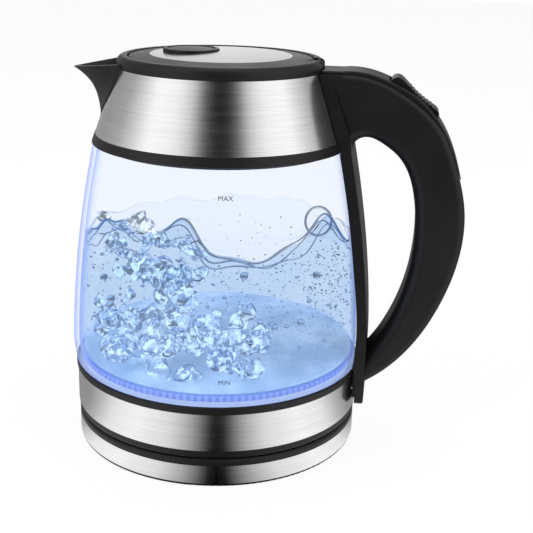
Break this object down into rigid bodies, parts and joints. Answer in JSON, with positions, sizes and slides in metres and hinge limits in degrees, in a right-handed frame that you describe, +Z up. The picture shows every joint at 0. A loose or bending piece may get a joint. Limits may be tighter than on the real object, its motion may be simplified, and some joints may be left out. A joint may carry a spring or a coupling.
{
  "type": "electric kettle",
  "caption": "Cordless glass kettle with brushed steel bands, a hinged lid with release button, a C-shaped handle with thumb switch, a lit ring under the glass and a round power base.",
  "frame": {"origin": "on the axis of the jug and the power base, at the level of the table", "axes": "+Z up, +X towards the handle, -X towards the spout"},
  "size_m": [0.2042, 0.1552, 0.2058],
  "materials": {
    "black": "fine satin texture",
    "black_gloss": "half gloss",
    "steel": "fine brushing round the jug",
    "screw_steel": "plated",
    "glass": "clear",
    "light_guide": "frosted, lit blue",
    "lens": "clear",
    "rubber": "matte",
    "seal": "translucent white",
    "board": "lacquered",
    "alloy": "cast",
    "brass": "bright",
    "pale_plastic": "satin",
    "lead": "insulated wire"
  },
  "bodies": {
    "power_base": {"base_floor": "black", "base_feet": "rubber", "base_screws": "screw_steel", "base_band": "steel", "base_deck": "black", "cord_gland": "rubber", "base_connector": "black", "connector_contacts": "brass"},
    "swivel_socket": {"jug_socket": "black", "socket_contacts": "brass"},
    "jug": {"jug_foot": "black", "foot_screws": "screw_steel", "jug_band": "steel", "heater_housing": "black", "led_board": "board", "leds": "lens", "lower_seal": "seal", "light_ring": "light_guide", "heating_plate": "steel", "heat_spreader": "alloy", "heating_element": "alloy", "thermostat": "pale_plastic", "glass_body": "glass", "upper_seal": "seal", "collar_trim": "black", "collar_frame": "black", "collar_band": "steel", "spout_filter": "pale_plastic", "top_ring": "black", "hinge_pin": "screw_steel", "lid_spring": "screw_steel", "handle_frame": "black", "hinge_cover": "black", "handle_spine": "black", "switch_pin": "screw_steel", "switch_body": "pale_plastic", "steam_duct": "pale_plastic", "steam_disc": "brass", "handle_leads": "lead", "handle_screws": "screw_steel"},
    "lid": {"lid_cap": "black", "lid_plate": "steel", "button_bezel": "black", "lid_base": "black", "lid_seal": "seal", "lid_screws": "screw_steel", "button_spring": "screw_steel", "latch_spring": "screw_steel"},
    "release_button": {"lid_button": "black_gloss"},
    "latch": {"latch_bolt": "pale_plastic"},
    "thumb_switch": {"switch_rocker": "black_gloss"}
  },
  "joints": [
    {"name": "jug_lift", "type": "slide", "parent": "power_base", "child": "swivel_socket", "axis": [0, 0, 1], "range_m": [0, 0.1]},
    {"name": "jug_swivel", "type": "hinge", "parent": "swivel_socket", "child": "jug", "pos_m": [0, 0, 0.02], "axis": [0, 0, 1], "continuous": true},
    {"name": "lid_hinge", "type": "hinge", "parent": "jug", "child": "lid", "pos_m": [0.0496, 0, 0.1999], "axis": [0, 1, 0], "range_deg": [0, 80], "deforming": ["lid_spring"]},
    {"name": "button_press", "type": "slide", "parent": "lid", "child": "release_button", "axis": [0, 0, -1], "range_m": [0, 0.002], "stiffness_N_per_m": 400, "springref_m": -0.002, "deforming": ["button_spring"]},
    {"name": "latch_slide", "type": "slide", "parent": "lid", "child": "latch", "axis": [1, 0, 0], "range_m": [0, 0.0015], "deforming": ["latch_spring"]},
    {"name": "switch_rock", "type": "hinge", "parent": "jug", "child": "thumb_switch", "pos_m": [0.09744, 0, 0.18567], "axis": [0, 1, 0], "range_deg": [0, 9]}
  ],
  "couplings": [
    {"joint": "latch_slide", "follows": "button_press", "ratio": 0.75}
  ]
}
